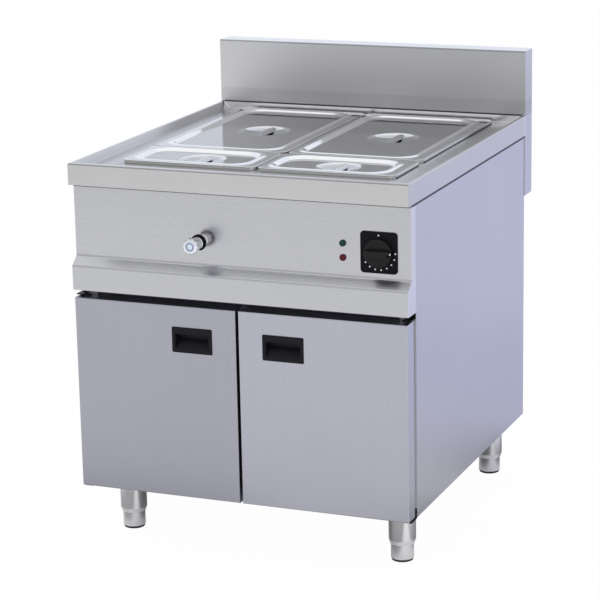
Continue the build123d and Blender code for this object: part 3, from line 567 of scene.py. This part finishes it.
class BAIN_OT_sheets(bpy.types.Operator):
    """Brush the steel sheets of the cabinet, worktop and doors"""

    bl_idname = "bain.sheets"
    bl_label = "Steel sheets"

    def execute(self, context):
        steel = context.scene.bain_steel
        grain, rough = steel.grain, steel.roughness
        (_, front, _), (width, _, rim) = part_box("worktop")
        (_, rear, _), (_, _, crest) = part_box("upstand")
        fold = width - 0.001
        hem, riser = 0.002, rear - 0.004
        panel_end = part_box("control_panel")[1][0] - 0.0006
        door_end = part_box("right_door_skin")[1][0] - 0.0008
        face = 0.0004
        inner_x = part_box("right_side_panel")[1][0] - face
        inner_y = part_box("back_panel")[1][1] - face
        inner_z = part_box("cabinet_floor")[0][2] + face

        def deck_painted_light(x, y, z):
            """Painted light: the sunken deck is painted darker than the apron as painted shade, least at its
            sides. Its rear wall is painted brighter as a painted highlight, and the bend along the front edge
            is painted darker as painted shade."""
            deck = (abs(x) < width - hem) * (y > front + hem) * (y < riser)
            sides = 1 - ease(abs(x), 0.31, 0.35) * 0.75
            sunken = ease(z, rim - 0.001, rim - 0.012) * sides * steel.deck_shade
            wall = (y > riser) * 0.55
            bend = (z > rim - 0.0022) * (y < front + 0.0045) * 0.40
            return 1 - deck * sunken + wall - bend

        def panel_end_highlight(x, y, z):
            """The folded ends of the control panel are painted brighter, as a painted highlight."""
            return 1 + (abs(x) > panel_end) * 0.3

        def door_edge_highlight(x, y, z):
            """The doors' folded outer edges are painted brighter, as a painted highlight."""
            return 1 + (abs(x) > door_end) * 0.14

        def upstand_painted_light(x, y, z):
            """Painted light: the upstand is painted darker towards its foot as painted shade, but not at its
            left end. A darker band at its foot is a painted reflection of the worktop, the bend along its
            upper edge is painted dark as painted shade, and its top is painted bright as a painted highlight."""
            left = ease(x, -0.10, -0.38)
            fade = ease(z, 1.03, 0.93) * (1 - left) * 0.11
            band = ease(z, rim + 0.040, rim + 0.034) * 0.08
            bend = (z > crest - 0.004) * (y < rear + hem) * 0.34
            flat = (z > crest - 0.0006) * 0.27
            return 0.90 + left * 0.05 - fade - band - bend + flat

        def inside(x, y, z):
            """1 on the faces inside the carcass."""
            return (abs(x) < inner_x) * (y < inner_y) * (z > inner_z)

        top = brushed_sheet("worktop steel", steel.top, "X", grain, roughness=0.22, ends=fold, tone=deck_painted_light)
        panel = brushed_sheet(
            "control panel steel", steel.panel, "X", grain, roughness=0.27, depth=0.24, tone=panel_end_highlight,
            spread=0.09)
        side = brushed_sheet("carcass steel", steel.side, "Z", grain, rough, dull=inside)
        splash = brushed_sheet(
            "upstand steel", steel.splash, "X", grain, roughness=0.42, ends=fold, tone=upstand_painted_light)
        # The hinge brackets are near black, which darkens the spots under the doors' bottom corners.
        hinge = brushed_sheet("near-black hinge steel", (0.030, 0.030, 0.033), "Z", grain, roughness=0.45)
        paint(top, "worktop")
        paint(splash, "upstand")
        paint(panel, "control_panel")
        paint(
            side, "left_side_panel", "right_side_panel", "rear_cheeks", "back_panel", "cabinet_floor",
            "cabinet_ceiling", "front_rail")
        paint(hinge, "hinge_brackets")
        # The left door is a darker copy of the right one, as painted shade.
        for hand, level in (("left", 0.86), ("right", 1.0)):
            door = brushed_sheet(
                f"{hand} door steel", scaled(steel.door, level), "Z", grain, rough, tone=door_edge_highlight)
            paint(door, f"{hand}_door_skin")
            paint(side, f"{hand}_door_liner")
        return {"FINISHED"}


class BAIN_OT_shade_strips(bpy.types.Operator):
    """Lay dark strips shaped as seals, as painted shade in the gaps under the apron, over the doors and at
    the upstand's foot
    """

    bl_idname = "bain.seals"
    bl_label = "Shade strips"

    def execute(self, context):
        grey = moulded("grey shade strip", (0.048, 0.050, 0.070), roughness=0.50, gloss=0.2)
        pale = moulded("pale shade strip", (0.24, 0.24, 0.25), roughness=0.50, gloss=0.2)
        (_, _, apron_z), (top_x, _, top_z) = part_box("worktop")
        rail_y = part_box("front_rail")[0][1]
        lip_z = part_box("control_panel")[0][2]
        panel_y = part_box("thermostat_plate")[1][1]
        side_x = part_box("right_side_panel")[1][0]
        upstand_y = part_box("upstand")[0][1]
        x, y, z = np.eye(3)

        def lay(name, ends, half, across, finish):
            """A dark strip shaped as a seal between two ends, with a rounded section of the given halves; it
            is painted shade.
            """
            bar = straight_bar(*ends, rounded_section(*half), across, z)
            skin(name, [bar], "cabinet", finish)

        thick, tall = 0.0008, 0.0026
        under = apron_z - tall - 0.0003
        for name, out in (("left_apron_shade_strip", -1), ("right_apron_shade_strip", 1)):
            ends = [(out * (side_x + thick), at, under) for at in (panel_y + 0.004, upstand_y - 0.003)]
            lay(name, ends, (thick, tall), -x, grey)
        # Painted shade: the pale strip under the front apron, the strip at the upstand's foot and the strip
        # over the doors.
        for name, reach, at_y, at_z, half, finish in (
            ("front_apron_shade_strip", side_x - 0.001, panel_y - 0.0012, apron_z - 0.0036, (0.0011, 0.0033), pale),
            ("upstand_shade_strip", top_x - 0.009, upstand_y - 0.0010, top_z + 0.0012, (0.0010, 0.0018), grey),
            ("head_shade_strip", 0.36, rail_y - 0.0029, lip_z - 0.0098, (0.0026, 0.0088), grey),
        ):
            lay(name, [(out * reach, at_y, at_z) for out in (-1, 1)], half, y, finish)
        return {"FINISHED"}


class BAIN_OT_pans(bpy.types.Operator):
    """Press the lids with their straps, and finish the pans, the tank and what is in it"""

    bl_idname = "bain.pans"
    bl_label = "Pans and well"

    def execute(self, context):
        steel, shape = context.scene.bain_steel, context.scene.bain_lids
        fine = steel.grain / 2
        foot = shape.border + shape.slope
        bead = shape.border - shape.rise
        dimple = foot + PANEL_STARTS[-1] + DIMPLE_MARK
        rim, _, rim_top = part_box("pan_front_right")[1]
        rim_low = rim_top - 0.004

        def lid_painted_light(x, y, z):
            """Painted light: the edge, the wall and the dimple's brim are painted bright as painted
            highlights, the wall's foot is painted dark as painted shade in the crease, and the bowl is
            painted darker as painted shade.
            """
            mark = x.node("ShaderNodeAttribute", {"attribute_name": "inset"}, out="Fac")
            edge = (1 - ease(mark, 0.001, 0.004)) * 0.26
            wall = ease(mark, bead, bead + shape.rise / 2) * 0.34
            crease = ease(mark, foot - 0.0016, foot - 0.0004) * 0.60
            panel = ease(mark, foot + 0.0008, foot + 0.0024) * 0.05
            brim = ease(mark, dimple + 0.002, dimple + 0.004) * 0.42
            bowl = ease(mark, dimple + 0.005, dimple + 0.011) * 0.28
            return 0.74 + edge + wall - crease + panel + brim - bowl

        def pan_painted_shade(x, y, z):
            """The outer sides of the pans' rims are painted dark as painted shade under the lids' edges, and
            the drawn walls below are painted darker.
            """
            outer = (abs(x) > rim - 0.0012) * (z < rim_low + 0.001) * 0.60
            walls = (z < rim_low) * 0.34
            return 1 - outer - walls

        def below_rim(x, y, z):
            """Part of the mill finish on the walls below the pans' rims."""
            return (z < rim_low) * 0.4

        lid = brushed_sheet("lid steel", steel.lid, "X", fine, roughness=0.07, depth=0.012, tone=lid_painted_light)
        # The strap is a darker copy of the lid's steel, as painted shade.
        strap = brushed_sheet("strap steel", scaled(steel.lid, 0.75), "Y", fine, roughness=0.12, depth=0.02)
        pan = brushed_sheet(
            "pan steel", steel.lid, "X", fine, roughness=0.12, depth=0.02, tone=pan_painted_shade, dull=below_rim)
        tank = brushed_sheet("tank steel", scaled(steel.lid, 0.8), "X", steel.grain, roughness=0.38)
        tube = brushed_sheet("pipe steel", scaled(steel.lid, 0.8), "Y", steel.grain, roughness=0.30)
        element = brushed_sheet("heat stained tube", (0.20, 0.17, 0.15), "Y", steel.grain, roughness=0.45)
        clear, lift, within = 0.0015, 0.0003, 0.965
        thick, crown = 0.0016, 0.0018
        for spot in SPOTS:
            paint(pan, f"pan_{spot}")
            low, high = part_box(f"lid_{spot}")
            strap_low, strap_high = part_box(f"lid_handle_{spot}")
            radius = (strap_high[1] - strap_low[1]) / 2 + clear
            grid = pressed_lid(low, high, radius, shape)
            piece = skin(f"pressed_lid_{spot}", [grid[..., :3]], f"lid_{spot}", lid)
            marks = piece.data.attributes.new("inset", "FLOAT", "POINT")
            marks.data.foreach_set("value", grid[..., 3].ravel())
            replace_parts(piece, f"lid_{spot}")
            centre = ((low[0] + high[0]) / 2, (low[1] + high[1]) / 2, strap_high[2] + lift)
            bar = strap_bar(centre, radius * within, shape.strap, thick, crown)
            piece = skin(f"lid_strap_{spot}", [bar], f"lid_{spot}", strap)
            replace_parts(piece, f"lid_handle_{spot}")
        paint(tank, "well_tank", "pan_bridges", "false_bottom")
        paint(tube, "water_pipes", "drain_pipe", "thermostat_shaft", "drain_lever")
        paint(element, "heating_elements")
        return {"FINISHED"}


class BAIN_OT_fittings(bpy.types.Operator):
    """Finish the plastics, the valves and the lamps"""

    bl_idname = "bain.fittings"
    bl_label = "Fittings"

    def execute(self, context):
        black = moulded("black moulding", (0.006, 0.006, 0.008), roughness=0.42, gloss=0.08)
        knob = moulded("knob moulding", (0.008, 0.008, 0.009), roughness=0.30, depth=0.04, gloss=0.2)
        pull = moulded("finger pull moulding", (0.009, 0.009, 0.013), roughness=0.46, gloss=0.12)
        cast, plate = 0.0015, 0.0010
        brass = brushed_sheet("cast brass", (0.62, 0.47, 0.22), "X", cast, roughness=0.42)
        chrome = brushed_sheet("plated valve", (0.86, 0.88, 0.93), "Y", plate, roughness=0.10, depth=0.01)

        def front(x, y, z):
            """1 on the front half of the cabinet, where the valve's neck is."""
            return y < 0

        satin = brushed_sheet(
            "satin valve", (0.86, 0.86, 0.88), "Y", plate, roughness=0.45, depth=0.02, dull=front)
        green = moulded("green lens", (0.003, 0.032, 0.025), roughness=0.18, grain=900.0, depth=0.03)
        red = moulded("red lens", (0.068, 0.004, 0.010), roughness=0.18, grain=900.0, depth=0.03)
        paint(
            black, "thermostat_plate", "thermostat_body", "valve_ring", "door_catches",
            "terminal_box", "cable_gland", "left_door_bushes", "right_door_bushes")
        paint(knob, "thermostat_knob")
        paint(pull, "left_door_handle", "right_door_handle")
        paint(brass, "drain_valve", "valve_spindle", "sensor_bulb")
        paint(satin, "valve_body")
        paint(green, "green_lamp")
        paint(red, "red_lamp")
        self.valve_handle(chrome)
        self.screw_heads(context.scene.bain_steel)
        return {"FINISHED"}

    def valve_handle(self, chrome):
        """Handwheel with ten lobes on a grooved hub, and the index disc in its face."""
        low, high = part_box("valve_knob")
        front = front_centre("valve_knob")
        rim, length = (high[0] - low[0]) / 2, high[1] - low[1]
        hub, groove, bevel, cut = 0.0135, length - 0.0052, 0.0008, 0.0012
        flute, seat = 0.0020, 0.0115
        profile = [
            (0.0050, length, 0), (hub - bevel, length, 0), (hub, length - bevel, 0),
            (hub, groove + 0.0016, 0), (hub - cut, groove + 0.0010, 0),
            (hub - cut, groove - 0.0010, 0), (hub, groove - 0.0016, 0),
            (hub, 0.0188, 0), (rim - 0.0026, 0.0178, 0.0010), (rim - 0.0009, 0.0170, 0.0017),
            (rim, 0.0156, flute), (rim, 0.0050, flute), (rim - 0.0005, 0.0028, 0.0018),
            (rim - 0.0018, 0.0012, 0.0013), (rim - 0.0036, 0.0003, 0.0005), (rim - 0.0052, 0, 0),
            (seat, 0, 0), (seat - 0.0003, bevel, 0), (0.0010, bevel, 0),
        ]
        grid = lobed_part(profile, front, lobes=10, sides=160)
        wheel = skin("valve_handwheel", [grid], "valve_handle", chrome)
        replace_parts(wheel, "valve_knob")
        dome = [(0.0110, -0.0006), (0.0110, -0.0003), (0.0106, -0.0001), (0.0080, -0.00005), (0.0004, 0)]
        disc = self.index_disc(front)
        skin("valve_index", [turned_part(dome, front, sides=48)], "valve_handle", disc)

    def index_disc(self, centre):
        """Pale enamel with a blue ring about a centre."""
        disc, shader, start = fresh_material("index disc")
        place = start.node("ShaderNodeTexCoord", out="Object")
        flat = start.node(
            "ShaderNodeVectorMath", {"operation": "MULTIPLY_ADD"},
            {0: place, 1: (1, 0, 1), 2: (-centre[0], 0, -centre[2])})
        away = start.node("ShaderNodeVectorMath", {"operation": "LENGTH"}, {0: flat}, out="Value")
        specks = noise(place, 700.0)
        inner, outer = 0.0062, 0.0096
        ring = (away > inner) * (away < outer)
        enamel = tinted(start, specks, (0.56, 0.64, 0.78), (0.68, 0.76, 0.90))
        colour = tinted(start, ring, enamel, (0.20, 0.25, 0.36))
        feed(shader, Base_Color=colour, Roughness=0.25 + specks * 0.12, Coat_Weight=0.3)
        return disc

    def screw_heads(self, steel):
        """Cross-recess heads of the back panel's screws."""
        bright = brushed_sheet("screw steel", scaled(steel.leg, 0.7), "Y", steel.grain / 4, roughness=0.30)
        low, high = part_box("back_screws")
        head, rise, rows = 0.004, 0.0025, 5
        heads = [
            cross_head((x, high[1] - rise, z), head, rise)
            for x in (low[0] + head, high[0] - head)
            for z in np.linspace(low[2] + head, high[2] - head, rows)
        ]
        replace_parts(skin("cross_screws", heads, "cabinet", bright), "back_screws")


class BAIN_OT_feet(bpy.types.Operator):
    """Finish the legs, with a rubber pad under each foot"""

    bl_idname = "bain.feet"
    bl_label = "Legs and feet"

    def execute(self, context):
        steel = context.scene.bain_steel
        leg, foot = (
            brushed_sheet(name, steel.leg, "XY", steel.grain, roughness=0.14)
            for name in ("leg steel", "foot steel over rubber"))
        pad = 0.0062
        tree = foot.node_tree
        shader = tree.nodes["Principled BSDF"]
        start = Wire(tree)
        rubber = start.node("ShaderNodeTexCoord", out="Object").split()[2] < pad
        bare, shine = (
            Wire(tree, shader.inputs[key].links[0].from_socket) for key in ("Base Color", "Roughness"))
        colour = tinted(start, rubber, bare, (0.02, 0.02, 0.022))
        feed(shader, Base_Color=colour, Metallic=1 - rubber, Roughness=shine + rubber * 0.45)
        paint(leg, "legs")
        paint(foot, *(f"foot_{spot}" for spot in SPOTS))
        return {"FINISHED"}


class BAIN_OT_dial(bpy.types.Operator):
    """Print the ring of dots on the thermostat plate and the pointer on its knob"""

    bl_idname = "bain.dial"
    bl_label = "Dial marks"

    def execute(self, context):
        marks = context.scene.bain_dial
        ink = moulded("grey print", (0.62, 0.64, 0.66), roughness=0.5, depth=0.02)
        white = moulded("white inlay", (0.80, 0.80, 0.80), roughness=0.4, depth=0.02)
        x, y, z = front_centre("thermostat_plate")
        sunk = -0.0001
        dome = [
            (marks.dot, sunk), (marks.dot, 0.0001), (marks.dot * 0.6, 0.00018), (marks.dot * 0.1, 0.0002)]
        dots = [
            turned_part(dome, (x + marks.ring * cos(turn), y, z + marks.ring * sin(turn)), sides=16)
            for turn in [pi / 2] + [-marks.step * k for k in range(marks.count)]
        ]
        skin("dial_dots", dots, "cabinet", ink)
        knob_low, knob_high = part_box("thermostat_knob")
        pointer = [(0.0021, sunk), (0.0021, 0.0002), (0.0014, 0.0004), (0.0002, 0.00045)]
        spot = (knob_high[0] - 0.0028, knob_high[1] - marks.skirt, (knob_low[2] + knob_high[2]) / 2)
        inlay = turned_part(pointer, spot, sides=20)
        skin("knob_pointer", [inlay], "thermostat_dial", white)
        return {"FINISHED"}


# The floor as mirrors see it, in metres: where it turns cool, where its shade draws in behind the cabinet,
# where the shade ends, where the duller floor before the backdrop begins and ends, and a window strip's edge
COOL = (0.0, 1.0)
DRAWN_IN = (-0.05, 0.25)
SHADE_END = (0.45, 0.08)
DULL_START = (-0.3, 0.2)
DULL_END = (1.76, 1.62)
STRIP_EDGE = (0.03, 0.12)
# How much the shade draws in, how dull the floor before the backdrop is, and the shares of plain glow that
# the camera, mirrors and mirrors of the cool floor see
DRAW = 0.8
DULLNESS = 0.13
CAMERA_GLOW, MIRROR_GLOW, COOL_GLOW = 0.98, 0.12, 0.58


class BAIN_OT_stage(bpy.types.Operator):
    """Set up the floor, the even light and the camera"""

    bl_idname = "bain.stage"
    bl_label = "Studio"

    def execute(self, context):
        studio = context.scene.bain_studio
        context.scene.view_settings.view_transform = "Standard"
        self.light_room(context, studio)
        self.lay_floor(context, studio)
        for name, place, aim, size, power in (
            ("key_lamp", (-2.6, -3.2, 3.6), (0, 0, 0.6), 4.0, 70),
            ("fill_lamp", (3.4, -2.2, 2.4), (0, 0, 0.5), 3.6, 40),
        ):
            lamp = bpy.data.lights.new(name, "AREA")
            lamp.energy = power
            lamp.size = size
            made = bpy.data.objects.new(name, lamp)
            made.location = place
            made.visible_camera = False
            made.visible_glossy = False
            made.rotation_euler = (Vector(aim) - Vector(place)).to_track_quat("-Z", "Y").to_euler()
            context.collection.objects.link(made)
        self.set_camera(context, studio)
        return {"FINISHED"}

    def rays(self, start):
        """Two wires: 1 for a ray straight from the camera, and 1 for one from a mirror or through glass."""
        camera = start.node("ShaderNodeLightPath", out="Is Camera Ray")
        outputs = camera.socket.node.outputs
        mirror, glass = (Wire(start.tree, outputs[f"Is {kind} Ray"]) for kind in ("Glossy", "Transmission"))
        return camera, mirror.larger(glass)

    def light_room(self, context, studio):
        """Even light all round. Mirrors see it white overhead and at the window, bright and cool behind, and
        dim in front. Height is the sine of the angle above the horizon, and nearness is the cosine of the
        turn from the window."""
        world = bpy.data.worlds.new("studio")
        world.use_nodes = True
        context.scene.world = world
        start = Wire(world.node_tree)
        camera, bounced = self.rays(start)
        way = start.node("ShaderNodeTexCoord", out="Generated")
        _, depth, height = way.split()
        wall, ceiling, pane = (0.25, 0.70), (0.60, 0.88), (0.95, 0.985)
        before = tinted(start, ease(height, *wall), studio.front, studio.front_high)
        walls = tinted(start, ease(depth, -0.5, 0.5), before, studio.rear)
        flat = start.node("ShaderNodeVectorMath", {"operation": "MULTIPLY"}, {0: way, 1: (1, 1, 0)})
        level = start.node("ShaderNodeVectorMath", {"operation": "NORMALIZE"}, {0: flat})
        nearness = start.node(
            "ShaderNodeVectorMath", {"operation": "DOT_PRODUCT"},
            {0: level, 1: (sin(studio.window), -cos(studio.window), 0)}, out="Value")
        bright = ease(height, *ceiling).larger(ease(nearness, *pane))
        white = (1, 1, 1)
        mirrored = tinted(start, bright, walls, white)
        colour = tinted(start, bounced, white, mirrored)
        strength = studio.sky + camera.larger(bounced) * (1 - studio.sky)
        background = world.node_tree.nodes["Background"]
        world.node_tree.links.new(colour.socket, background.inputs["Color"])
        world.node_tree.links.new(strength.socket, background.inputs["Strength"])

    def lay_floor(self, context, studio):
        """Pale floor that the camera sees almost white, with a trace of the cabinet's shadow. Mirrors see it
        dim near the cabinet, but for a strip of window light past each foot, and with a cool glow further
        back, which is stronger past the line where the backdrop begins."""
        material, shader, start = fresh_material("studio floor")
        tree = material.node_tree
        camera, bounced = self.rays(start)
        x, y, _ = start.node("ShaderNodeTexCoord", out="Object").split()
        far = bounced * ease(y, *COOL)
        half_x, half_y, _ = map(float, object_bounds()[1])
        away = (abs(x) - half_x).larger(abs(y) - half_y)
        near = away * (1 + ease(y, *DRAWN_IN) * DRAW)
        shade = bounced * ease(near, *SHADE_END) * studio.floor_dim
        dull = bounced * ease(y, *DULL_END) * ease(y, *DULL_START) * DULLNESS
        side = (cos(studio.window), sin(studio.window))
        across = x * side[0] + y * side[1]
        for spot in SPOTS:
            low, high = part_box(f"foot_{spot}")
            lane = float((low[0] + high[0]) / 2 * side[0] + (low[1] + high[1]) / 2 * side[1])
            shade = shade * ease(abs(across - lane), *STRIP_EDGE)

        def floor_colour(level):
            """The floor's own grey level, turned cool far back and dimmed where mirrors see it dim."""
            tint = tinted(start, far, [level] * 3, scaled(studio.floor_rear, level))
            return start.node(
                "ShaderNodeVectorMath", {"operation": "SCALE"}, {"Vector": tint, "Scale": 1 - shade - dull})

        feed(shader, Roughness=0.8, Base_Color=floor_colour(0.9))
        glow = start.node("ShaderNodeEmission", {}, {"Color": floor_colour(1.0)})
        share = camera * CAMERA_GLOW + bounced * MIRROR_GLOW + far * COOL_GLOW
        mixed = start.node(
            "ShaderNodeMixShader", {}, {0: share, 1: Wire(tree, shader.outputs[0]), 2: glow})
        tree.links.new(mixed.socket, tree.nodes["Material Output"].inputs["Surface"])
        reach = 40
        corners = [(-reach, -reach, 0), (reach, -reach, 0), (reach, reach, 0), (-reach, reach, 0)]
        mesh = bpy.data.meshes.new("studio_floor")
        mesh.from_pydata(corners, [], [(0, 1, 2, 3)])
        mesh.materials.append(material)
        floor = bpy.data.objects.new("studio_floor", mesh)
        context.collection.objects.link(floor)
        floor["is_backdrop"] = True

    def set_camera(self, context, studio):
        """Camera from azimuth, elevation and roll: its axes are the columns of its matrix."""
        az, el, roll = studio.azimuth, studio.elevation, studio.roll
        back = Vector((sin(az) * cos(el), -cos(az) * cos(el), sin(el)))
        right = Vector((cos(az), sin(az), 0))
        up = back.cross(right)
        right_rolled = cos(roll) * right + sin(roll) * up
        up_rolled = cos(roll) * up - sin(roll) * right
        data = bpy.data.cameras.new("photo_camera")
        data.lens = studio.lens
        data.sensor_width = 36
        data.clip_end = 200
        camera = bpy.data.objects.new("photo_camera", data)
        turn = Matrix((right_rolled, up_rolled, back)).transposed().to_4x4()
        camera.matrix_world = Matrix.Translation(studio.place) @ turn
        context.collection.objects.link(camera)
        context.scene.camera = camera


class BAIN_PT_panel(bpy.types.Panel):
    """Lists the steps that dress the cabinet"""

    bl_idname = "BAIN_PT_panel"
    bl_label = "Bain-marie"
    bl_space_type = "VIEW_3D"
    bl_region_type = "UI"
    bl_category = "Bain-marie"

    def draw(self, context):
        for step in OPERATORS:
            self.layout.operator(step.bl_idname)


OPERATORS = (
    BAIN_OT_sheets, BAIN_OT_shade_strips, BAIN_OT_pans, BAIN_OT_fittings, BAIN_OT_feet, BAIN_OT_dial, BAIN_OT_stage)
GROUPS = {
    "bain_steel": SteelFinish, "bain_lids": LidShape, "bain_dial": DialMarks, "bain_studio": StudioSettings}


def register():
    """Register the property groups, the steps and the panel."""
    for cls in (*GROUPS.values(), *OPERATORS, BAIN_PT_panel):
        bpy.utils.register_class(cls)
    for name, group in GROUPS.items():
        setattr(bpy.types.Scene, name, bpy.props.PointerProperty(type=group))


def unregister():
    """Take back what register did."""
    for name in GROUPS:
        delattr(bpy.types.Scene, name)
    for cls in (BAIN_PT_panel, *reversed(OPERATORS), *reversed(GROUPS.values())):
        bpy.utils.unregister_class(cls)


def main():
    """Dress the cabinet."""
    register()
    bpy.ops.bain.sheets()
    bpy.ops.bain.seals()
    bpy.ops.bain.pans()
    bpy.ops.bain.fittings()
    bpy.ops.bain.feet()
    bpy.ops.bain.dial()
    bpy.ops.bain.stage()


if __name__ == "__main__":
    main()
